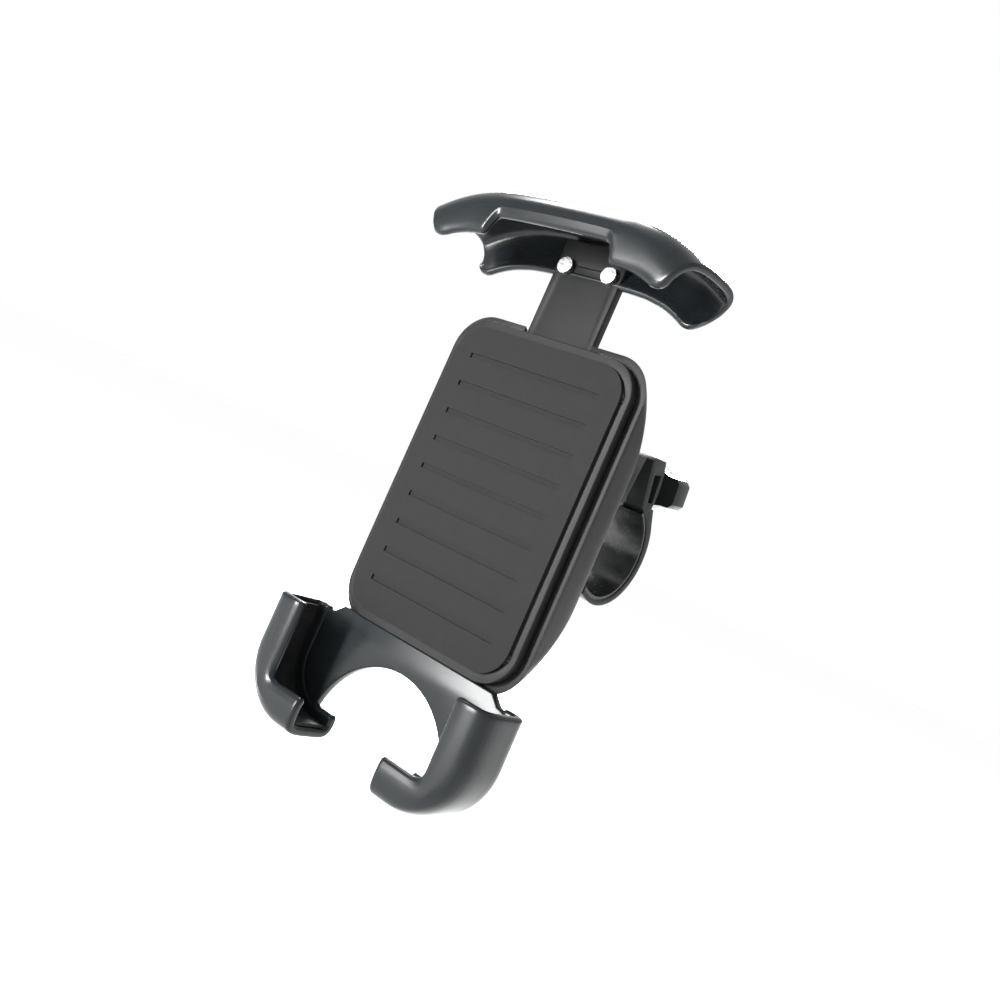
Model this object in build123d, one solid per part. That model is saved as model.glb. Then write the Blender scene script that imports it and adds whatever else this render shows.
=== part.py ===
from build123d import *
import math
import os

# Phone handlebar mount, millimetres.
# Origin: centre of the handlebar bore. +X runs along the bar, +Z up the phone, the phone faces -Y.

# driving dimensions: clamp
BAR_R = 15.9
LINER_T = 1.1
RING_IN = BAR_R + LINER_T
RING_OUT = 19.7
CLAMP_W = 28.0
HINGE = (-12.4, -18.9)
KNUCKLE_R = 3.6
PIN_R = 1.5
FIT = 0.05
BOLT_PIVOT = (-11.3, 21.1)
BOLT_TILT = 8.0
BOLT_R = 2.5
BOLT_LEN = 34.0
EYE_R = 4.4
FORK_W = 6.6
EAR_SEAT = 22.6
SEAT_GAP = 0.06
WASHER_T = 1.5
KNOB_HUB_R = 8.4
KNOB_START = EAR_SEAT + WASHER_T
KNOB_END = 37.6
WING_START = 29.6
WING_X = 16.4

# driving dimensions: ball joint
BALL_Y = -33.8
STUD_FACE = -20.6
FLANGE_T = 1.4
FLANGE_R = 7.4
SPIGOT_R = 3.0
SPIGOT_END = -18.2
STUD_SCREW_R = 1.5
BALL_R = 8.5
CUP_IN = BALL_R + FIT
CUP_OUT = 10.2
SOCKET_R = CUP_OUT + FIT
NECK_R = 3.8
SOCKET_BODY_R = 12.5
COLLAR_R = 15.4
COLLAR_END = -25.6
COLLAR_GROOVES = 24
GROOVE_R = 0.7

# driving dimensions: cradle
PAD_Y = -60.3
PAD_T = 1.2
PLATE_T = 3.0
PLATE_X = 33.0
PLATE_Z = 50.0
COVER_Y = PAD_Y + PAD_T + PLATE_T
COVER_BACK = -37.3
COVER_WALL = 2.2
BOSS_END = -50.5
BOSS_R = 3.2
SCREW_X = 28.0
SCREW_Z = 38.0
SCREW_R = 1.25
SCREW_HEAD_R = 2.7
SCREW_HEAD_T = 1.4
PAD_Z = 45.5
PAD_RIBS = 9
RIB_PITCH = 9.0
CLAW_X = 42.3
CLAW_Z = -84.3
CLAW_FRONT = -75.7
CLAW_BACK = -56.6
CLAW_TOP = -50.0
CLAW_CORNER = 19.5
ARCH_R = 25.5
ARCH_Z = -82.0
WALL = 3.0
LIP_X = 31.8
LIP_Z = -74.5
LIP_END_X = 16.7
LIP_T = 2.6
CLAW_PAD_T = 0.9
LIP_CORNER = 4.0

# driving dimensions: upper jaw and its slide
JAW_T = 2.4
RAIL_X = 12.0
RAIL_T = 3.0
RAIL_Y = -53.8
RAIL_FOOT = -2.0
RAIL_TOP = 79.4
RAIL_PLAY = 0.4
FOOT_H = 6.0
JAW_SCREW_X = 8.0
JAW_SCREW_Z = 71.0
JAW_SCREW_R = 1.3
JAW_HEAD_R = 2.5
SPRING_X = 21.0
SPRING_R = 3.0
SPRING_WIRE = 0.8
SPRING_BASE = -36.0
SPRING_Y = -52.8
BUTTON_Z = -26.5
BUTTON_X = 8.0
BUTTON_H = 3.4

# stations of the jaw: x, height of the top, droop in degrees, length of the front lip
JAW_STATIONS = [(0.0, 85.0, 0.0, 11.4), (19.4, 84.6, 3.0, 12.0), (25.0, 84.0, 7.0, 16.8),
                (33.0, 82.3, 16.0, 16.2), (40.0, 79.4, 26.0, 15.4), (47.0, 75.4, 30.0, 14.6)]
# outer line of the jaw's channel: y, depth below the top
JAW_OUTER = [(-80.0, 8.6), (-79.4, 5.2), (-76.8, 2.5), (-72.0, 0.9), (-65.0, 0.1), (-57.6, 0.0),
             (-52.8, 1.2), (-50.4, 3.6), (-49.9, 7.0), (-50.6, 11.0)]
JAW_BACK_DEPTH = 16.5


def tube(r_out, r_in, width):
    return Rot(0, 90, 0) * (Cylinder(r_out, width) - Cylinder(r_in, width + 2))


def x_rod(radius, width, y, z):
    return Pos(0, y, z) * Rot(0, 90, 0) * Cylinder(radius, width)


def yz_prism(points, width):
    """A closed outline of (y, z) points, extruded evenly both ways along X."""
    face = make_face(Plane.YZ * Polyline(*points, close=True))
    return extrude(face, width / 2, both=True)


def wedge(start, end, width, reach=60.0):
    """A sector about X from start to end degrees, measured from +Y towards +Z."""
    steps = 6
    turns = [math.radians(start + (end - start) * i / steps) for i in range(steps + 1)]
    rim = [(reach * math.cos(a), reach * math.sin(a)) for a in turns]
    return yz_prism([(0, 0)] + rim, width)


def rounded(x_half, z_low, z_high, radius, y_from, y_to):
    """A plate in XZ with round corners, between two Y planes."""
    centre = (z_low + z_high) / 2
    outline = RectangleRounded(2 * x_half, z_high - z_low, radius)
    face = Plane((0, y_from, centre), x_dir=(1, 0, 0), z_dir=(0, 1, 0)) * outline
    return extrude(face, y_to - y_from)


def block(x0, x1, y0, y1, z0, z1):
    size = (x1 - x0, y1 - y0, z1 - z0)
    return Pos((x0 + x1) / 2, (y0 + y1) / 2, (z0 + z1) / 2) * Box(*size)


def y_rod(radius, y0, y1, x=0.0, z=0.0):
    return Pos(x, (y0 + y1) / 2, z) * Rot(90, 0, 0) * Cylinder(radius, y1 - y0)


def on_bolt():
    """Frame of the swing bolt: its Z axis runs out along the shank from the pivot pin."""
    a = math.radians(BOLT_TILT)
    return Location(Plane((0, *BOLT_PIVOT), x_dir=(1, 0, 0), z_dir=(0, math.cos(a), math.sin(a))))


# ---- clamp -------------------------------------------------------------------------------

def clamp_saddle():
    ring = tube(RING_OUT, RING_IN, CLAMP_W) & wedge(113, 224, CLAMP_W)
    ear = yz_prism([(-5.3, 31.0), (-15.4, 30.4), (-19.2, 24.0), (-20.4, 2.0), (-14.0, 2.0), (-7.7, 13.6)],
                   CLAMP_W)
    seat = block(-11, 11, STUD_FACE, -14, -9, 12)
    lug = yz_prism([(-19.0, -6.0), (-16.0, -21.2), (-11.4, -22.0), (-9.0, -18.0), (-13.0, -10.0)], 22)
    knuckles = x_rod(KNUCKLE_R, 22, *HINGE)
    body = ring + ear + seat + lug + knuckles
    body -= x_rod(RING_IN, CLAMP_W + 2, 0, 0)
    body -= wedge(-134, 90, CLAMP_W + 4, 16.6)
    body -= x_rod(KNUCKLE_R + 0.4, 10.6, *HINGE)
    body -= block(-5.3, 5.3, -14.6, 0, -26, -10)
    body -= x_rod(PIN_R, 40, *HINGE)
    body -= block(-FORK_W / 2, FORK_W / 2, -24, 0, 15.9, 40)
    body -= x_rod(PIN_R, 40, *BOLT_PIVOT)
    body -= y_rod(SPIGOT_R, -30, -10)
    body -= y_rod(5.0, SPIGOT_END, -10)
    return body


def ring_liner(start, end):
    return tube(RING_IN, BAR_R, CLAMP_W - 0.6) & wedge(start, end, CLAMP_W)


def ball_stud():
    ball = Pos(0, BALL_Y, 0) * Sphere(BALL_R)
    neck = y_rod(NECK_R, BALL_Y, STUD_FACE - FLANGE_T / 2)
    flange = y_rod(FLANGE_R, STUD_FACE - FLANGE_T, STUD_FACE)
    spigot = y_rod(SPIGOT_R, STUD_FACE, SPIGOT_END)
    return ball + neck + flange + spigot - y_rod(STUD_SCREW_R, -30, -10)


def stud_screw():
    screw = y_rod(4.6, SPIGOT_END, -17.05) + y_rod(STUD_SCREW_R, -30, SPIGOT_END)
    return screw - y_rod(1.3, -17.7, -16)


def clamp_strap():
    outer = Pos(0, 0.3, 0.6) * Rot(0, 90, 0) * Cylinder(19.35, CLAMP_W)
    ring = (outer & wedge(-130, 66, CLAMP_W)) - x_rod(RING_IN, CLAMP_W + 2, 0, 0)
    ear = yz_prism([(5.4, 14.2), (-0.6, 31.4), (0.6, 32.8), (9.7, 33.5), (11.8, 18.4), (15.6, 12.4),
                    (12.0, 8.0)], CLAMP_W)
    ear -= x_rod(RING_IN, CLAMP_W + 2, 0, 0)
    link = yz_prism([HINGE, (-13.0, -22.3), (-7.0, -19.6), (-5.0, -17.2), (-9.4, -15.2)], 9.8)
    body = ring + ear + link - x_rod(RING_IN, CLAMP_W + 2, 0, 0)
    for side in (-1, 1):
        body -= block(*sorted((side * 4.9, side * 15)), -30, -8.6, -30, -8)
    body -= block(-15, 15, -30, -8.9, -14.6, 0)
    body += x_rod(KNUCKLE_R, 9.8, *HINGE)
    body -= x_rod(PIN_R + FIT, 40, *HINGE)
    body -= block(-FORK_W / 2, FORK_W / 2, -6, 20, 19.4, 40)
    body -= block(-15, 15, 2, 20, 17.4, 40) - x_rod(EAR_SEAT - SEAT_GAP, 40, *BOLT_PIVOT)
    pocket = yz_prism([(4.0, 27.7), (8.2, 28.5), (9.6, 19.0), (6.9, 18.6)], CLAMP_W + 2)
    body -= pocket - block(-8.5, 8.5, 0, 20, 10, 40)
    return body


def swing_bolt():
    shank = Pos(0, 0, BOLT_LEN / 2) * Cylinder(BOLT_R, BOLT_LEN)
    eye = Rot(0, 90, 0) * Cylinder(EYE_R, 6.0)
    return on_bolt() * (shank + eye - Rot(0, 90, 0) * Cylinder(PIN_R + FIT, 10))


def knob_wing():
    hub = Pos(0, 0, (KNOB_START + KNOB_END) / 2) * Cylinder(KNOB_HUB_R, KNOB_END - KNOB_START)
    hub = chamfer(hub.edges().sort_by(Axis.Z)[-1], 1.2)
    upper = [(0, 8.3), (4.5, 7.9), (8.5, 6.1), (12.0, 5.2), (WING_X - 1.4, 5.1), (WING_X, 3.6)]
    outline = Polyline(*upper, *[(x, -z) for x, z in reversed(upper)], close=True)
    half = extrude(make_face(outline), KNOB_END - WING_START)
    wings = Pos(0, 0, WING_START) * (half + Rot(0, 0, 180) * half)
    bore = Pos(0, 0, 30) * Cylinder(BOLT_R + FIT, 40)
    nut = Pos(0, 0, KNOB_START + 3.5) * extrude(RegularPolygon(4.6, 6), 7)
    return on_bolt() * (hub + wings - bore - nut)


def knob_insert():
    nut = Pos(0, 0, KNOB_START + 3.5) * extrude(RegularPolygon(4.6, 6), 6.5)
    return on_bolt() * (nut - Pos(0, 0, 30) * Cylinder(BOLT_R + FIT, 40))


def knob_washer():
    disc = Pos(0, 0, KNOB_START - 1.4) * Cylinder(6.8, 2.8)
    disc -= Rot(0, 90, 0) * Cylinder(EAR_SEAT, 20)
    return on_bolt() * (disc - Pos(0, 0, 30) * Cylinder(BOLT_R + FIT, 40))


# ---- ball joint --------------------------------------------------------------------------

def cup(polar_from, polar_to):
    """A band of a hollow sphere about the ball, between two angles from the +Y axis."""
    a, b = math.radians(polar_from), math.radians(polar_to)
    pts = []
    for t in (a, (2 * a + b) / 3, (a + 2 * b) / 3, b):
        pts.append((30 * math.sin(t), 30 * math.cos(t)))
    face = make_face(Plane.XY * Polyline((0, 0), *pts, close=True))
    band = revolve(face, Axis.Y)
    shell = Sphere(CUP_OUT) - Sphere(CUP_IN)
    return Pos(0, BALL_Y, 0) * (shell & band)


def socket_body():
    body = y_rod(SOCKET_BODY_R, -47.0, -31.4) + y_rod(17.0, -42.4, COVER_BACK - COVER_WALL)
    return body - Pos(0, BALL_Y, 0) * Sphere(SOCKET_R) - y_rod(SOCKET_R - 0.9, BALL_Y, -28)


def collar_nut():
    ring = y_rod(COLLAR_R, COVER_BACK + 0.1, COLLAR_END)
    ring = chamfer(ring.edges(), 0.8)
    ring -= y_rod(SOCKET_BODY_R + FIT, -60, -31.3)
    ring -= Pos(0, BALL_Y, 0) * Sphere(SOCKET_R)
    ring -= Pos(0, (-28.6 + COLLAR_END) / 2, 0) * Rot(-90, 0, 0) * Cone(7.2, 9.6, 3.2)
    ring -= y_rod(7.3, -31, -24)
    for i in range(COLLAR_GROOVES):
        a = 2 * math.pi * i / COLLAR_GROOVES
        ring -= y_rod(GROOVE_R, -60, 0, COLLAR_R * math.cos(a), COLLAR_R * math.sin(a))
    return ring


# ---- cradle ------------------------------------------------------------------------------

def cover_loft(inset, y_shift):
    """The domed rear casing as a lofted body; inset shrinks every section by a wall."""
    sections = []
    for y, x_half, z_half, radius in ((COVER_Y, 35.5, 50.0, 12.0), (-48.0, 34.6, 43.0, 13.0),
                                      (-41.5, 32.6, 31.0, 12.0), (COVER_BACK, 28.8, 21.0, 9.0)):
        shape = RectangleRounded(2 * (x_half - inset), 2 * (z_half - inset), radius - inset * 0.8)
        sections.append(Plane((0, y + y_shift, 0), x_dir=(1, 0, 0), z_dir=(0, 1, 0)) * shape)
    return loft(sections)


def housing_cover():
    shell = cover_loft(0.0, 0.0)
    shell -= cover_loft(COVER_WALL, -COVER_WALL)
    shell -= y_rod(SOCKET_BODY_R + 0.02, -60, -20)
    shell -= block(-RAIL_X - RAIL_PLAY, RAIL_X + RAIL_PLAY, COVER_Y - 1,
                   RAIL_Y + RAIL_T / 2 + RAIL_PLAY, 30, 60)
    shell -= block(-BUTTON_X - 0.3, BUTTON_X + 0.3, -50, -30, BUTTON_Z - BUTTON_H - 0.3,
                   BUTTON_Z + BUTTON_H + 0.3)
    for x, z in screw_places():
        shell += y_rod(BOSS_R, COVER_Y, BOSS_END, x, z)
        shell -= y_rod(SCREW_R, COVER_Y - 1, BOSS_END - 1.2, x, z)
    return shell


def screw_places():
    return [(x, z) for x in (-SCREW_X, SCREW_X) for z in (-SCREW_Z, SCREW_Z)]


def front_plate():
    plate = rounded(PLATE_X, -PLATE_Z + 2, PLATE_Z - 2, 11, PAD_Y + PAD_T, COVER_Y)
    for x, z in screw_places():
        plate -= y_rod(1.4, -70, -50, x, z)
        plate -= y_rod(SCREW_HEAD_R + 0.1, -70, COVER_Y - SCREW_HEAD_T, x, z)
    return plate


def plate_screws():
    screws = Part()
    for x, z in screw_places():
        head = y_rod(SCREW_HEAD_R, PAD_Y + PAD_T + 0.1, COVER_Y - SCREW_HEAD_T, x, z)
        shank = y_rod(SCREW_R, COVER_Y - SCREW_HEAD_T, BOSS_END - 1.4, x, z)
        screws += head + shank - y_rod(0.9, PAD_Y, PAD_Y + PAD_T + 0.9, x, z)
    return screws


def back_pad():
    pad = rounded(PLATE_X - 2.5, -PAD_Z, PAD_Z, 9, PAD_Y, PAD_Y + PAD_T)
    for i in range(PAD_RIBS):
        z = RIB_PITCH * (i - (PAD_RIBS - 1) / 2)
        pad -= block(-24, 24, PAD_Y - 1, PAD_Y + 0.5, z - 0.8, z + 0.8)
    return pad


def claw_bracket():
    body = rounded(CLAW_X, CLAW_Z, -20, CLAW_CORNER, CLAW_FRONT, CLAW_BACK)
    body -= rounded(CLAW_X - WALL, CLAW_Z + WALL, 0, CLAW_CORNER - WALL, CLAW_FRONT + LIP_T,
                    PAD_Y + PAD_T)
    body -= rounded(LIP_X, LIP_Z, 0, LIP_CORNER, CLAW_FRONT - 1, CLAW_FRONT + LIP_T + 1)
    body -= block(-LIP_END_X, LIP_END_X, CLAW_FRONT - 1, CLAW_BACK + 1, CLAW_Z - 1, -66)
    body -= block(-60, 60, CLAW_FRONT - 1, CLAW_BACK + 1, CLAW_TOP, 0)
    arch = y_rod(ARCH_R, PAD_Y + PAD_T - 0.2, COVER_Y + 2, 0, ARCH_Z)
    arch &= block(-30, 30, -70, -50, CLAW_Z + WALL, -40)
    body += block(-30, 30, PAD_Y + PAD_T, COVER_Y, -58, -PLATE_Z + 2)
    body -= arch
    rim = body.edges().filter_by_position(Axis.Y, CLAW_FRONT - 0.01, CLAW_FRONT + 0.01)
    return fillet(rim, 1.2)


def claw_pad(side):
    corner = CLAW_CORNER - WALL
    pad = rounded(CLAW_X - WALL, CLAW_Z + WALL, 0, corner, CLAW_FRONT + LIP_T + 0.4, PAD_Y)
    pad -= rounded(CLAW_X - WALL - CLAW_PAD_T, CLAW_Z + WALL + CLAW_PAD_T, 1, corner - CLAW_PAD_T,
                   -90, -50)
    keep = block(*sorted((side * (LIP_END_X + 1), side * 50)), -90, -50, CLAW_Z, CLAW_TOP - 1.5)
    return pad & keep


# ---- upper jaw and its slide ---------------------------------------------------------------

def jaw_section(x, top, droop, lip, side):
    """Closed C outline at one station: down the back, over the top and down the front lip."""
    a = math.radians(droop)
    front = [(-80.2, lip), (-80.2, (lip + 8.6) / 2)]
    back = [(-51.2, 13.6), (-52.6, JAW_BACK_DEPTH)]
    outer = front + JAW_OUTER + back
    inner = []
    for i, (y, d) in enumerate(outer):
        y0, d0 = outer[max(i - 1, 0)]
        y1, d1 = outer[min(i + 1, len(outer) - 1)]
        size = math.hypot(y1 - y0, d1 - d0)
        inner.append((y - (d1 - d0) / size * JAW_T, d + (y1 - y0) / size * JAW_T))
    ring = outer + inner[::-1]
    return [(side * (x - d * math.sin(a)), y, top - d * math.cos(a)) for y, d in ring]


def faceted(sections):
    """A closed solid through rings of points, with flat triangles between neighbours."""
    faces = []
    count = len(sections[0])
    half = count // 2
    for ring, sign in ((sections[0], 1), (sections[-1], -1)):
        for i in range(half - 1):
            quad = [ring[i], ring[i + 1], ring[count - 2 - i], ring[count - 1 - i]]
            faces.append(Face(Wire.make_polygon([quad[0], quad[1], quad[2]])))
            faces.append(Face(Wire.make_polygon([quad[0], quad[2], quad[3]])))
    for a, b in zip(sections, sections[1:]):
        for i in range(count):
            j = (i + 1) % count
            faces.append(Face(Wire.make_polygon([a[i], a[j], b[j]])))
            faces.append(Face(Wire.make_polygon([a[i], b[j], b[i]])))
    return Solid(Shell(faces))


def top_jaw():
    left = [jaw_section(*s, -1) for s in JAW_STATIONS[:0:-1]]
    right = [jaw_section(*s, 1) for s in JAW_STATIONS]
    jaw = faceted(left + right)
    jaw -= block(-RAIL_X, RAIL_X, RAIL_Y - RAIL_T / 2, RAIL_Y + RAIL_T / 2, 50, RAIL_TOP)
    for x in (-JAW_SCREW_X, JAW_SCREW_X):
        jaw -= y_rod(JAW_SCREW_R, -60, -50.9, x, JAW_SCREW_Z)
    return jaw


def jaw_rail():
    rail = block(-RAIL_X, RAIL_X, RAIL_Y - RAIL_T / 2, RAIL_Y + RAIL_T / 2, RAIL_FOOT, RAIL_TOP)
    foot = block(-SPRING_X - 3, SPRING_X + 3, RAIL_Y - RAIL_T / 2, RAIL_Y + RAIL_T / 2,
                 RAIL_FOOT, RAIL_FOOT + FOOT_H)
    body = rail + foot
    for x in (-SPRING_X, SPRING_X):
        body -= y_rod(1.1, -70, -40, x, RAIL_FOOT + FOOT_H / 2)
    for x in (-JAW_SCREW_X, JAW_SCREW_X):
        body -= y_rod(JAW_SCREW_R, -70, -40, x, JAW_SCREW_Z)
    return body


def jaw_screws():
    screws = Part()
    back = RAIL_Y - RAIL_T / 2
    for x in (-JAW_SCREW_X, JAW_SCREW_X):
        shank = y_rod(JAW_SCREW_R, back, -50.9, x, JAW_SCREW_Z)
        screws += shank + y_rod(JAW_HEAD_R, back - 1.6, back, x, JAW_SCREW_Z)
    return screws


def jaw_pad():
    return block(-16, 16, -70.0, -57.0, 80.3, 81.7)


def tension_spring(x):
    length = RAIL_FOOT - SPRING_BASE
    coil = Cylinder(SPRING_R, length) - Cylinder(SPRING_R - SPRING_WIRE, length - 2)
    return Pos(x, SPRING_Y, (RAIL_FOOT + SPRING_BASE) / 2) * coil


def spring_anchor():
    """A pressed steel bar across the casing that holds the lower spring ends."""
    return block(-24, 24, SPRING_Y - 1.6, SPRING_Y + 1.4, SPRING_BASE - 3, SPRING_BASE - 0.02)


def lock_button():
    cap = rounded(BUTTON_X, BUTTON_Z - BUTTON_H, BUTTON_Z + BUTTON_H, 2.6, -46.0, -37.2)
    return cap - y_rod(2.7, -50, -41.8, 0, BUTTON_Z)


def button_spring():
    coil = y_rod(2.6, COVER_Y, -44.2, 0, BUTTON_Z)
    return coil - y_rod(1.8, -70, -30, 0, BUTTON_Z)


def pin(radius, length, place):
    return x_rod(radius, length, *place)


NODES = {
    "clamp_saddle": clamp_saddle,
    "saddle_liner": lambda: ring_liner(116, 222),
    "ball_stud": ball_stud,
    "stud_screw": stud_screw,
    "hinge_pin": lambda: pin(PIN_R, 24, HINGE),
    "bolt_pivot_pin": lambda: pin(PIN_R, 27, BOLT_PIVOT),
    "clamp_strap": clamp_strap,
    "strap_liner": lambda: ring_liner(-118, 64),
    "swing_bolt": swing_bolt,
    "knob_wing": knob_wing,
    "knob_insert": knob_insert,
    "knob_washer": knob_washer,
    "ball_cup_rear": lambda: cup(50, 76),
    "ball_cup_front": lambda: cup(93, 150),
    "socket_body": socket_body,
    "collar_nut": collar_nut,
    "housing_cover": housing_cover,
    "front_plate": front_plate,
    "plate_screws": plate_screws,
    "back_pad": back_pad,
    "claw_bracket": claw_bracket,
    "claw_pad_left": lambda: claw_pad(-1),
    "claw_pad_right": lambda: claw_pad(1),
    "top_jaw": top_jaw,
    "jaw_rail": jaw_rail,
    "jaw_screws": jaw_screws,
    "jaw_pad": jaw_pad,
    "tension_spring_left": lambda: tension_spring(-SPRING_X),
    "tension_spring_right": lambda: tension_spring(SPRING_X),
    "spring_anchor": spring_anchor,
    "lock_button": lock_button,
    "button_spring": button_spring,
}


def main():
    os.makedirs("parts", exist_ok=True)
    for name, make in NODES.items():
        export_step(make(), f"parts/{name}.step")


main()
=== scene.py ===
import math

import bmesh
import bpy
from mathutils import Matrix, Vector


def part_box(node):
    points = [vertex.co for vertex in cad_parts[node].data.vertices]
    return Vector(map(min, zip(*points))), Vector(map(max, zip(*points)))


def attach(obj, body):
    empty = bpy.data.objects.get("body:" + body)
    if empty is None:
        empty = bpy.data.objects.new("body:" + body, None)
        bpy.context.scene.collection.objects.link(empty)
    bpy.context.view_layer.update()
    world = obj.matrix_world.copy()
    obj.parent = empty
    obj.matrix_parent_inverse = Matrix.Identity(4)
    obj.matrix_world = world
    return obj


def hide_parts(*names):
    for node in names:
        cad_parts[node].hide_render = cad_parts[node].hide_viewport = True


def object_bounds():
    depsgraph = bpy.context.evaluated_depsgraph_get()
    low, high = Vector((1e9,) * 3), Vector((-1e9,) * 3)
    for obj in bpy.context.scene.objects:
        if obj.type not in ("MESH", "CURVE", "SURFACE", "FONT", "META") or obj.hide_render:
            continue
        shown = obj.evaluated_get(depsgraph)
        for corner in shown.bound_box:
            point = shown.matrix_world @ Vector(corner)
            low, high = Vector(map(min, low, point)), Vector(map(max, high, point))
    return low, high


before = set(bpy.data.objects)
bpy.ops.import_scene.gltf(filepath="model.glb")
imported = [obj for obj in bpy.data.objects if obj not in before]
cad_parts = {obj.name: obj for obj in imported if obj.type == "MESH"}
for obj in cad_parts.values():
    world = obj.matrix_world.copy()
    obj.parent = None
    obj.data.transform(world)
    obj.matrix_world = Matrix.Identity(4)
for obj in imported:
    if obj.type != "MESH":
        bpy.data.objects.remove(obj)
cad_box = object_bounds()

# shapes are written in millimetres and turned into metres by MM; welds, lights and floor are metres
MM = 0.001

# places read from the frame
BRACKET_LOW, BRACKET_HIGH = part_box("claw_bracket")
PLATE_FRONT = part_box("front_plate")[0][1] / MM
JAW_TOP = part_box("top_jaw")[1][2] / MM


# ---- materials ---------------------------------------------------------------------------

MOTTLE = 0.12
EDGE_WEAR = 0.2
SPARK_GRAIN = 5200.0
TOOL_LINES = (400.0, 400.0, 4000.0)
TARNISH = 0.82


def new_material(name):
    material = bpy.data.materials.new(name)
    material.use_nodes = True
    nodes = material.node_tree.nodes
    return material, nodes, material.node_tree.links, nodes["Principled BSDF"]


def noise(nodes, links, coords, scale, detail=4.0, roughness=0.55):
    tex = nodes.new("ShaderNodeTexNoise")
    tex.inputs["Scale"].default_value = scale
    tex.inputs["Detail"].default_value = detail
    tex.inputs["Roughness"].default_value = roughness
    links.new(coords.outputs["Object"], tex.inputs["Vector"])
    return tex


def ramp(nodes, links, source, stops):
    node = nodes.new("ShaderNodeValToRGB")
    while len(node.color_ramp.elements) < len(stops):
        node.color_ramp.elements.new(0.5)
    for element, (place, value) in zip(node.color_ramp.elements, stops):
        element.position = place
        element.color = value if len(value) == 4 else (*value, 1.0)
    links.new(source, node.inputs["Fac"])
    return node


def grey(value):
    return (value, value, value, 1.0)


def plastic(name, colour, rough, grain, gloss, coat=0.0):
    """Moulded plastic: mottled colour, fine spark grain, slow polish marks and lighter worn edges."""
    material, nodes, links, bsdf = new_material(name)
    coords = nodes.new("ShaderNodeTexCoord")
    cloud = noise(nodes, links, coords, 90.0, 5.0)
    dark = tuple(c * (1 - MOTTLE) for c in colour)
    light = tuple(c * (1 + MOTTLE) for c in colour)
    tone = ramp(nodes, links, cloud.outputs["Fac"], [(0.3, dark), (0.7, light)])
    edge = nodes.new("ShaderNodeNewGeometry")
    wear = ramp(nodes, links, edge.outputs["Pointiness"], [(0.52, grey(0.0)), (0.62, grey(EDGE_WEAR))])
    mix = nodes.new("ShaderNodeMixRGB")
    mix.inputs["Color2"].default_value = (*(min(1.0, c * 2.4 + 0.02) for c in colour), 1.0)
    links.new(wear.outputs["Color"], mix.inputs["Fac"])
    links.new(tone.outputs["Color"], mix.inputs["Color1"])
    links.new(mix.outputs["Color"], bsdf.inputs["Base Color"])
    smear = noise(nodes, links, coords, 34.0, 3.0)
    polish = ramp(nodes, links, smear.outputs["Fac"],
                  [(0.3, grey(rough - 0.04)), (0.7, grey(rough + 0.05))])
    links.new(polish.outputs["Color"], bsdf.inputs["Roughness"])
    fine = noise(nodes, links, coords, SPARK_GRAIN, 2.0, 0.6)
    bump = nodes.new("ShaderNodeBump")
    bump.inputs["Strength"].default_value = grain
    bump.inputs["Distance"].default_value = 0.00004
    links.new(fine.outputs["Fac"], bump.inputs["Height"])
    links.new(bump.outputs["Normal"], bsdf.inputs["Normal"])
    bsdf.inputs["Coat Weight"].default_value = coat
    bsdf.inputs["Coat Roughness"].default_value = 0.16
    bsdf.inputs["Specular IOR Level"].default_value = gloss
    return material


def metal(name, colour, rough):
    """Drawn or turned metal with fine tool lines and slight tarnish."""
    material, nodes, links, bsdf = new_material(name)
    coords = nodes.new("ShaderNodeTexCoord")
    mapping = nodes.new("ShaderNodeMapping")
    mapping.inputs["Scale"].default_value = TOOL_LINES
    links.new(coords.outputs["Object"], mapping.inputs["Vector"])
    lines = nodes.new("ShaderNodeTexNoise")
    lines.inputs["Scale"].default_value = 1.0
    lines.inputs["Detail"].default_value = 3.0
    links.new(mapping.outputs["Vector"], lines.inputs["Vector"])
    cloud = noise(nodes, links, coords, 160.0, 4.0)
    tone = ramp(nodes, links, cloud.outputs["Fac"],
                [(0.3, tuple(c * TARNISH for c in colour)), (0.7, colour)])
    links.new(tone.outputs["Color"], bsdf.inputs["Base Color"])
    polish = ramp(nodes, links, lines.outputs["Fac"],
                  [(0.3, grey(rough - 0.08)), (0.7, grey(rough + 0.1))])
    links.new(polish.outputs["Color"], bsdf.inputs["Roughness"])
    bump = nodes.new("ShaderNodeBump")
    bump.inputs["Strength"].default_value = 0.08
    bump.inputs["Distance"].default_value = 0.00003
    links.new(lines.outputs["Fac"], bump.inputs["Height"])
    links.new(bump.outputs["Normal"], bsdf.inputs["Normal"])
    bsdf.inputs["Metallic"].default_value = 1.0
    return material


def rubber(name, colour, rough, grain, gloss):
    """Moulded rubber: soft sheen, faint dust and a fine pebbled skin."""
    material, nodes, links, bsdf = new_material(name)
    coords = nodes.new("ShaderNodeTexCoord")
    dust = noise(nodes, links, coords, 220.0, 6.0)
    tone = ramp(nodes, links, dust.outputs["Fac"],
                [(0.35, colour), (0.8, tuple(c * 1.5 + 0.004 for c in colour))])
    links.new(tone.outputs["Color"], bsdf.inputs["Base Color"])
    polish = ramp(nodes, links, dust.outputs["Fac"],
                  [(0.3, grey(rough - 0.05)), (0.75, grey(rough + 0.1))])
    links.new(polish.outputs["Color"], bsdf.inputs["Roughness"])
    pebble = nodes.new("ShaderNodeTexVoronoi")
    pebble.inputs["Scale"].default_value = 2600.0
    links.new(coords.outputs["Object"], pebble.inputs["Vector"])
    bump = nodes.new("ShaderNodeBump")
    bump.inputs["Strength"].default_value = grain
    bump.inputs["Distance"].default_value = 0.00004
    links.new(pebble.outputs["Distance"], bump.inputs["Height"])
    links.new(bump.outputs["Normal"], bsdf.inputs["Normal"])
    bsdf.inputs["Specular IOR Level"].default_value = gloss
    return material


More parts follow.
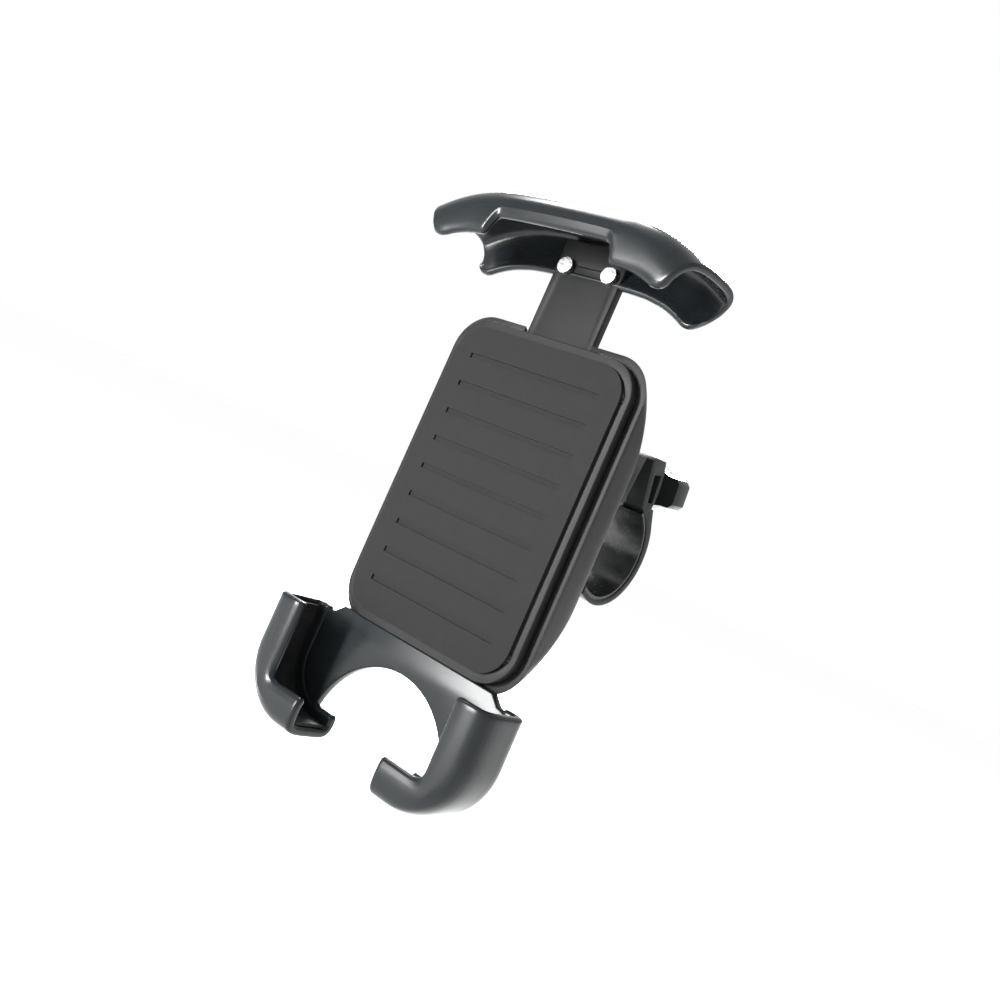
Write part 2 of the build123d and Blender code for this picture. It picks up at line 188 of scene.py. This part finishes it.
SHELL = plastic("shell_plastic", (0.0070, 0.0086, 0.0095), 0.23, 0.05, gloss=0.18, coat=0.02)
CASING = plastic("casing_plastic", (0.0085, 0.0088, 0.0086), 0.44, 0.2, gloss=0.12)
CLAMP = plastic("clamp_plastic", (0.0085, 0.0095, 0.0095), 0.32, 0.12, gloss=0.15)
KNOB = plastic("knob_plastic", (0.009, 0.0105, 0.0105), 0.32, 0.12, gloss=0.17)
NYLON = plastic("cup_nylon", (0.62, 0.60, 0.55), 0.42, 0.08, gloss=0.5)
LINER = rubber("liner_rubber", (0.008, 0.009, 0.009), 0.22, 0.04, gloss=0.6)
PAD = rubber("pad_rubber", (0.006, 0.006, 0.0064), 0.6, 0.3, gloss=0.1)
STEEL = metal("zinc_steel", (0.56, 0.57, 0.58), 0.28)
SPRING = metal("spring_steel", (0.42, 0.43, 0.44), 0.24)
BRASS = metal("turned_brass", (0.66, 0.47, 0.20), 0.27)


# ---- mesh helpers ------------------------------------------------------------------------

EDGE_SEGMENTS = 3
EDGE_ANGLE = 32.0
CREASE_CAD = 40.0
CREASE_JAW = 60.0
CREASE_BRACKET = 50.0
WELD_CAD = 2e-6
WELD_RINGS = 1e-7
CURVE_STEPS = 5
CAP_STEPS = 5
END_RINGS = 6


def add_object(name, mesh, material):
    obj = bpy.data.objects.new(name, mesh)
    bpy.context.scene.collection.objects.link(obj)
    mesh.materials.append(material)
    return obj


def smooth_by_angle(mesh, degrees):
    """Shade smooth, with edges sharper than the angle kept crisp."""
    bm = bmesh.new()
    bm.from_mesh(mesh)
    limit = math.radians(degrees)
    for face in bm.faces:
        face.smooth = True
    for edge in bm.edges:
        edge.smooth = len(edge.link_faces) == 2 and edge.calc_face_angle(0.0) < limit
    bm.to_mesh(mesh)
    bm.free()


def apply_modifiers(obj):
    graph = bpy.context.evaluated_depsgraph_get()
    mesh = bpy.data.meshes.new_from_object(obj.evaluated_get(graph))
    obj.modifiers.clear()
    obj.data = mesh


def finish_piece(obj, body, nodes):
    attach(obj, body)
    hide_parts(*nodes)


def softened(node, body, material, width):
    """Put a copy of a CAD node with moulded, rounded edges in the node's place."""
    bm = bmesh.new()
    bm.from_mesh(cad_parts[node].data)
    bmesh.ops.remove_doubles(bm, verts=bm.verts, dist=WELD_CAD)
    mesh = bpy.data.meshes.new(node + "_moulded")
    bm.to_mesh(mesh)
    bm.free()
    obj = add_object(node + "_moulded", mesh, material)
    bevel = obj.modifiers.new("edges", "BEVEL")
    bevel.width = width
    bevel.segments = EDGE_SEGMENTS
    bevel.limit_method = "ANGLE"
    bevel.angle_limit = math.radians(EDGE_ANGLE)
    bevel.use_clamp_overlap = True
    bevel.miter_outer = "MITER_ARC"
    apply_modifiers(obj)
    smooth_by_angle(obj.data, CREASE_CAD)
    finish_piece(obj, body, [node])


def ring_mesh(name, rings, material):
    """Quads through rings of points; each end is closed across the wall, outer to inner side."""
    count = len(rings[0])
    verts = [p for ring in rings for p in ring]
    faces = []
    for i in range(len(rings) - 1):
        for j in range(count):
            k = (j + 1) % count
            faces.append((i * count + j, i * count + k, (i + 1) * count + k, (i + 1) * count + j))
    half = count // 2
    for base in (0, (len(rings) - 1) * count):
        for j in range(half - 1):
            faces.append((base + j, base + j + 1, base + count - 2 - j, base + count - 1 - j))
    mesh = bpy.data.meshes.new(name)
    mesh.from_pydata(verts, [], faces)
    bm = bmesh.new()
    bm.from_mesh(mesh)
    bmesh.ops.remove_doubles(bm, verts=bm.verts, dist=WELD_RINGS)
    bmesh.ops.recalc_face_normals(bm, faces=bm.faces)
    bm.to_mesh(mesh)
    bm.free()
    return add_object(name, mesh, material)


def curve_through(points):
    """Catmull-Rom points through a list of tuples, with CURVE_STEPS points for each span."""
    result = []
    last = len(points) - 1
    for i in range(last):
        p0 = points[max(i - 1, 0)]
        p1, p2 = points[i], points[i + 1]
        p3 = points[min(i + 2, last)]
        for s in range(CURVE_STEPS):
            t = s / CURVE_STEPS
            result.append(tuple(
                0.5 * (2 * b + (c - a) * t + (2 * a - 5 * b + 4 * c - d) * t * t
                       + (3 * b - a - 3 * c + d) * t ** 3)
                for a, b, c, d in zip(p0, p1, p2, p3)))
    result.append(tuple(points[-1]))
    return result


def quarter_turns():
    """Angles of the rings that round an open end, without the last right angle."""
    return [math.pi / 2 * i / END_RINGS for i in range(END_RINGS)]


def blend_value(t):
    t = min(1.0, max(0.0, t))
    return t * t * (3 - 2 * t)


def offset_line(line, gap):
    """The line moved sideways by gap, to the side that lies inside a C traced over its top."""
    moved = []
    for i, (a, b) in enumerate(line):
        a0, b0 = line[max(i - 1, 0)]
        a1, b1 = line[min(i + 1, len(line) - 1)]
        size = max(math.hypot(a1 - a0, b1 - b0), 1e-9)
        moved.append((a - (b1 - b0) / size * gap, b + (a1 - a0) / size * gap))
    return moved


def walled_section(line, wall):
    """A closed ring around an open line: the line, a round cap, its inner offset and a second cap."""
    inner = offset_line(line, wall)

    def cap(p, q):
        centre = ((p[0] + q[0]) / 2, (p[1] + q[1]) / 2)
        start = math.atan2(p[1] - centre[1], p[0] - centre[0])
        radius = wall / 2
        turns = [start + math.pi * (i + 1) / (CAP_STEPS + 1) for i in range(CAP_STEPS)]
        return [(centre[0] + radius * math.cos(a), centre[1] + radius * math.sin(a)) for a in turns]

    end_cap = cap(line[-1], inner[-1])
    start_cap = cap(inner[0], line[0])
    half = len(start_cap) // 2
    ring = start_cap[half:] + line + end_cap[:half + 1]
    back = end_cap[half + 1:] + inner[::-1] + start_cap[:half]
    while len(back) > len(ring):
        back.pop(len(back) // 2)
    while len(ring) > len(back):
        ring.pop(len(ring) // 2)
    return ring + back


# ---- upper jaw ---------------------------------------------------------------------------

JAW_WALL = 2.4
JAW_HALF = 47.0
END_CORNER = 3.6
JAW_DROP = [(0.0, 0.0), (12.0, 0.1), (19.4, 0.4), (25.0, 1.0), (33.0, 2.8), (40.0, 5.6), (47.0, 9.6),
            (54.0, 13.8)]
JAW_BACK = [(-79.3, 5.4), (-76.8, 2.6), (-72.0, 0.95), (-65.0, 0.15), (-58.0, 0.0), (-53.4, 0.8),
            (-50.7, 3.0), (-49.95, 6.4), (-50.4, 10.2), (-51.6, 13.8), (-53.2, 16.4)]
BEFORE_MIDDLE = (-12.0, 0.15)
NOTCH_IN, NOTCH_OUT = 19.6, 26.0
LIP_SHORT, LIP_LONG, LIP_TIP = 11.0, 16.4, 14.2
LIP_TRIM = 0.8
TRIM_FROM, TRIM_SPAN = 6.4, 10.0
SLOPE_STEP = 0.2
JAW_END_ROUND = 0.8
JAW_RINGS = 150


def jaw_drop(x):
    """How far the jaw's top lies below its middle at x, on a smooth curve through JAW_DROP."""
    x = abs(x)
    for (x0, z0), (x1, z1) in zip(JAW_DROP, JAW_DROP[1:]):
        if x <= x1:
            i = JAW_DROP.index((x0, z0))
            before = JAW_DROP[i - 1] if i else BEFORE_MIDDLE
            after = JAW_DROP[min(i + 2, len(JAW_DROP) - 1)]
            s0 = (z1 - before[1]) / (x1 - before[0])
            s1 = (after[1] - z0) / (after[0] - x0)
            h = x1 - x0
            t = (x - x0) / h
            return ((2 * t ** 3 - 3 * t * t + 1) * z0 + (t ** 3 - 2 * t * t + t) * h * s0
                    + (3 * t * t - 2 * t ** 3) * z1 + (t ** 3 - t * t) * h * s1)
    return JAW_DROP[-1][1]


def jaw_lip(x):
    """Depth of the front lip: short over the middle notch, long beside it, less at the ends."""
    x = abs(x)
    towards_end = min(1.0, max(0.0, (x - NOTCH_OUT) / (JAW_HALF - NOTCH_OUT)))
    deep = LIP_LONG + (LIP_TIP - LIP_LONG) * towards_end
    return LIP_SHORT + (deep - LIP_SHORT) * blend_value((x - NOTCH_IN) / (NOTCH_OUT - NOTCH_IN))


def end_trim(x):
    """How much the free edges pull in so that the jaw's end corners are round."""
    reach = abs(x) - (JAW_HALF - END_CORNER)
    if reach <= 0:
        return 0.0
    return END_CORNER - math.sqrt(max(0.0, END_CORNER ** 2 - reach ** 2))


def jaw_ring(x, shrink):
    """One closed section of the jaw; shrink rounds the ends by thinning the wall to its middle."""
    trim = end_trim(x)
    lip = jaw_lip(x) - LIP_TRIM * trim
    back = [(y, d - trim * max(0.0, d - TRIM_FROM) / TRIM_SPAN) for y, d in JAW_BACK]
    front = [(-79.7, lip - 0.6), (-80.1, lip - 2.4), (-80.0, 7.8 + (lip - 10) * 0.12)]
    outer = curve_through(front + back)
    if shrink:
        outer = offset_line(outer, shrink)
    ring = walled_section(outer, JAW_WALL - 2 * shrink)
    top = JAW_TOP - jaw_drop(x)
    rise = jaw_drop(abs(x) + SLOPE_STEP) - jaw_drop(abs(x) - SLOPE_STEP)
    droop = math.atan(rise / (2 * SLOPE_STEP))
    side = 1 if x >= 0 else -1
    points = []
    for y, d in ring:
        px = side * (abs(x) - d * math.sin(droop))
        points.append((px * MM, y * MM, (top - d * math.cos(droop)) * MM))
    return points


def build_jaw():
    reach = JAW_HALF - JAW_END_ROUND
    start = [(reach + JAW_END_ROUND * math.cos(a), JAW_END_ROUND * (1 - math.sin(a)))
             for a in quarter_turns()]
    middle = [(reach * (1 - 2 * i / JAW_RINGS), 0.0) for i in range(JAW_RINGS + 1)]
    end = [(-x, shrink) for x, shrink in reversed(start)]
    rings = [jaw_ring(x, shrink) for x, shrink in start + middle + end]
    jaw = ring_mesh("top_jaw_shell", rings, SHELL)
    smooth_by_angle(jaw.data, CREASE_JAW)
    finish_piece(jaw, "jaw", ["top_jaw"])


# ---- lower claws -------------------------------------------------------------------------

CLAW_X = BRACKET_HIGH[0] / MM
CLAW_Z = BRACKET_LOW[2] / MM
CLAW_FRONT = BRACKET_LOW[1] / MM
CLAW_BACK = -56.6
CLAW_TOP = -50.0
CLAW_CORNER = 19.5
CLAW_END_X = 16.7
LIP_SIDE, LIP_BASE = 10.5, 10.0
LIP_SQUARENESS = 6
CLAW_WALL = 2.8
CLAW_END_ROUND = 1.0
SIDE_RINGS, CORNER_RINGS, BASE_RINGS = 14, 24, 8

# plate between the claws: its shoulder, its corner and the arch that is cut from it
SHOULDER = [(30.0, -48.0), (33.0, -50.6), (38.6, -51.6)]
PLATE_INSET = 2.2
PLATE_CORNER_END = -72
PLATE_CORNER_STEPS = 12
PLATE_PROUD = 0.3
PLATE_BEVEL = 0.5
ARCH_FOOT_X, ARCH_FOOT_RISE = 25.2, 3.0
ARCH_Z, ARCH_R = -82.0, 25.4
ARCH_START = 4
ARCH_STEPS = 48


def claw_line(lip):
    """Open outer line of the claw's wall: (y, inward distance), lip edge first."""
    front = [(CLAW_FRONT + 0.35, lip), (CLAW_FRONT + 0.05, lip - 1.6),
             (CLAW_FRONT, lip - 4.2), (CLAW_FRONT + 0.35, 3.0), (CLAW_FRONT + 1.6, 1.2),
             (CLAW_FRONT + 4.2, 0.25), (CLAW_FRONT + 7.4, 0.0), (CLAW_FRONT + 12.0, 0.0),
             (CLAW_BACK - 3.2, 0.15), (CLAW_BACK - 1.1, 1.2), (CLAW_BACK, 3.4), (CLAW_BACK, 6.0)]
    return curve_through(front)


def claw_path():
    """Stations along the claw: point, inward direction and how far the wall thins there."""
    ends = [(CLAW_END_ROUND * (1 - math.cos(a)), CLAW_END_ROUND * (1 - math.sin(a)))
            for a in quarter_turns()]
    inward, upward = (-1.0, 0.0), (0.0, 1.0)
    path = [(CLAW_X, CLAW_TOP - along, inward, thin) for along, thin in ends]
    high = CLAW_TOP - CLAW_END_ROUND
    low = CLAW_Z + CLAW_CORNER
    for i in range(SIDE_RINGS + 1):
        path.append((CLAW_X, high + (low - high) * i / SIDE_RINGS, inward, 0.0))
    inner = CLAW_X - CLAW_CORNER
    for i in range(1, CORNER_RINGS + 1):
        a = math.pi / 2 * i / CORNER_RINGS
        c, s = math.cos(a), math.sin(a)
        path.append((inner + CLAW_CORNER * c, low - CLAW_CORNER * s, (-c, s), 0.0))
    last = CLAW_END_X + CLAW_END_ROUND
    for i in range(1, BASE_RINGS + 1):
        path.append((inner + (last - inner) * i / BASE_RINGS, CLAW_Z, upward, 0.0))
    path += [(CLAW_END_X + along, CLAW_Z, upward, thin) for along, thin in reversed(ends)]
    return path


def build_claw(side):
    rings = []
    for x, z, (nx, nz), shrink in claw_path():
        across = (-nx / (CLAW_CORNER - LIP_SIDE)) ** LIP_SQUARENESS
        down = (nz / (CLAW_CORNER - LIP_BASE)) ** LIP_SQUARENESS
        outer = claw_line(CLAW_CORNER - (across + down) ** (-1 / LIP_SQUARENESS))
        if shrink:
            outer = offset_line(outer, shrink)
        ring = walled_section(outer, CLAW_WALL - 2 * shrink)
        rings.append([(side * (x + nx * d) * MM, y * MM, (z + nz * d) * MM) for y, d in ring])
    return ring_mesh("claw", rings, SHELL)


def arc_points(cx, cz, radius, start, end, steps):
    turns = [math.radians(start + (end - start) * i / steps) for i in range(steps + 1)]
    return [(cx + radius * math.cos(a), cz + radius * math.sin(a)) for a in turns]


def prism(name, outline, y_from, y_to, material, bevel):
    """An (x, z) outline in millimetres, extruded along Y with rounded edges."""
    bm = bmesh.new()
    verts = [bm.verts.new((x * MM, y_from * MM, z * MM)) for x, z in outline]
    face = bm.faces.new(verts)
    lifted = bmesh.ops.extrude_face_region(bm, geom=[face])
    moved = [v for v in lifted["geom"] if isinstance(v, bmesh.types.BMVert)]
    bmesh.ops.translate(bm, vec=(0, (y_to - y_from) * MM, 0), verts=moved)
    bmesh.ops.recalc_face_normals(bm, faces=bm.faces)
    rims = [e for e in bm.edges if abs(e.verts[0].co.y - e.verts[1].co.y) < WELD_RINGS]
    bmesh.ops.bevel(bm, geom=rims, offset=bevel * MM, segments=EDGE_SEGMENTS, profile=0.5,
                    affect="EDGES")
    mesh = bpy.data.meshes.new(name)
    bm.to_mesh(mesh)
    bm.free()
    return add_object(name, mesh, material)


def build_bracket():
    right = list(SHOULDER)
    right += arc_points(CLAW_X - CLAW_CORNER, CLAW_Z + CLAW_CORNER, CLAW_CORNER - PLATE_INSET,
                        0, PLATE_CORNER_END, PLATE_CORNER_STEPS)
    right += [(ARCH_FOOT_X, CLAW_Z + ARCH_FOOT_RISE)]
    arch = arc_points(0, ARCH_Z, ARCH_R, ARCH_START, 180 - ARCH_START, ARCH_STEPS)
    left = [(-x, z) for x, z in reversed(right)]
    plate = prism("bracket_plate", right + arch + left, PLATE_FRONT, CLAW_BACK + PLATE_PROUD, SHELL,
                  PLATE_BEVEL)
    pieces = [plate, build_claw(1), build_claw(-1)]
    bm = bmesh.new()
    for piece in pieces:
        bm.from_mesh(piece.data)
    mesh = bpy.data.meshes.new("claw_bracket_shell")
    bm.to_mesh(mesh)
    bm.free()
    for piece in pieces:
        bpy.data.objects.remove(piece)
    shell = add_object("claw_bracket_shell", mesh, SHELL)
    smooth_by_angle(shell.data, CREASE_BRACKET)
    finish_piece(shell, "cradle", ["claw_bracket"])


# ---- pieces that keep their CAD form -----------------------------------------------------

# node, body, slot, material and edge radius in millimetres
MOULDED = [
    ("clamp_saddle", "clamp", "clamp_plastic", CLAMP, 0.45),
    ("clamp_strap", "strap", "clamp_plastic", CLAMP, 0.35),
    ("knob_wing", "knob", "knob_plastic", KNOB, 0.9),
    ("knob_washer", "seat", "steel", STEEL, 0.25),
    ("collar_nut", "collar", "dark_plastic", CASING, 0.25),
    ("housing_cover", "cradle", "dark_plastic", CASING, 0.5),
    ("front_plate", "cradle", "dark_plastic", CASING, 0.4),
    ("lock_button", "button", "knob_plastic", KNOB, 0.6),
    ("jaw_rail", "jaw", "dark_plastic", CASING, 0.3),
]

CAD_FINISH = {
    "ball_stud": STEEL, "stud_screw": STEEL, "hinge_pin": STEEL, "bolt_pivot_pin": STEEL,
    "swing_bolt": STEEL, "knob_insert": BRASS, "ball_cup_rear": NYLON, "ball_cup_front": NYLON,
    "socket_body": CASING, "back_pad": PAD, "saddle_liner": LINER, "strap_liner": LINER,
    "plate_screws": STEEL, "claw_pad_left": PAD, "claw_pad_right": PAD, "jaw_screws": STEEL,
    "jaw_pad": PAD, "spring_anchor": STEEL, "button_spring": SPRING,
    "tension_spring_left": SPRING, "tension_spring_right": SPRING,
}


def dress_frame():
    for node, body, slot, material, width in MOULDED:
        softened(node, body, material, width * MM)
    for node, material in CAD_FINISH.items():
        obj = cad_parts[node]
        obj.data.materials.clear()
        obj.data.materials.append(material)


# ---- studio ------------------------------------------------------------------------------

FLOOR_DROP = 0.06
FLOOR_REACH = 12.0
AIM = (0.0, -0.05, 0.0)

# name, place, width and height in metres, and power
LIGHTS = [
    ("key", (-0.38, -0.88, -0.25), (0.14, 1.2), 62.0),
    ("top", (-0.5, 0.1, 0.85), (0.5, 0.16), 9.0),
    ("rim", (-0.5, 0.65, 0.5), (0.4, 0.25), 26.0),
    ("side", (0.9, -0.3, 0.3), (0.08, 0.7), 0.8),
]


def add_light(name, place, size, power):
    data = bpy.data.lights.new(name, "AREA")
    data.shape = "RECTANGLE"
    data.size, data.size_y = size
    data.energy = power
    obj = bpy.data.objects.new(name, data)
    bpy.context.scene.collection.objects.link(obj)
    obj.location = place
    direction = Vector(AIM) - Vector(place)
    obj.rotation_euler = direction.to_track_quat("-Z", "Y").to_euler()


def build_floor():
    low = cad_box[0][2] - FLOOR_DROP
    material, nodes, links, bsdf = new_material("studio_floor")
    coords = nodes.new("ShaderNodeTexCoord")
    tone = ramp(nodes, links, noise(nodes, links, coords, 6.0).outputs["Fac"],
                [(0.3, grey(0.985)), (0.7, grey(0.995))])
    links.new(tone.outputs["Color"], bsdf.inputs["Base Color"])
    bsdf.inputs["Roughness"].default_value = 0.9
    bsdf.inputs["Specular IOR Level"].default_value = 0.1
    corners = [(-FLOOR_REACH, -FLOOR_REACH, low), (FLOOR_REACH, -FLOOR_REACH, low),
               (FLOOR_REACH, FLOOR_REACH, low), (-FLOOR_REACH, FLOOR_REACH, low)]
    mesh = bpy.data.meshes.new("floor")
    mesh.from_pydata(corners, [], [(0, 1, 2, 3)])
    add_object("floor", mesh, material)


def build_world():
    world = bpy.data.worlds.new("studio")
    bpy.context.scene.world = world
    world.use_nodes = True
    background = world.node_tree.nodes["Background"]
    background.inputs["Color"].default_value = (1, 1, 1, 1)
    background.inputs["Strength"].default_value = 1.0
    bpy.context.scene.view_settings.view_transform = "Standard"


def build_studio():
    build_floor()
    build_world()
    for name, place, size, power in LIGHTS:
        add_light(name, place, size, power)


# camera: place, heading, rise and roll in degrees, and focal length over sensor width
CAMERA_PLACE = (183.98 * MM, -302.69 * MM, -2.11 * MM)
CAMERA_AZIMUTH = 36.82
CAMERA_RISE = 3.74
CAMERA_ROLL = 23.87
SENSOR_WIDTH = 36.0
FOCAL_PER_WIDTH = 1.06868
SHIFT = (-0.0124, -0.0641)


def build_camera():
    data = bpy.data.cameras.new("camera")
    data.sensor_width = SENSOR_WIDTH
    data.lens = FOCAL_PER_WIDTH * SENSOR_WIDTH
    data.shift_x, data.shift_y = SHIFT
    data.clip_start = 0.01
    camera = bpy.data.objects.new("camera", data)
    bpy.context.scene.collection.objects.link(camera)
    level = Matrix.Rotation(math.radians(CAMERA_AZIMUTH), 4, "Z") @ Matrix.Rotation(
        math.radians(90 + CAMERA_RISE), 4, "X")
    roll = Matrix.Rotation(math.radians(CAMERA_ROLL), 4, "Z")
    camera.matrix_world = Matrix.Translation(CAMERA_PLACE) @ level @ roll
    bpy.context.scene.camera = camera


build_jaw()
build_bracket()
dress_frame()
build_studio()
build_camera()
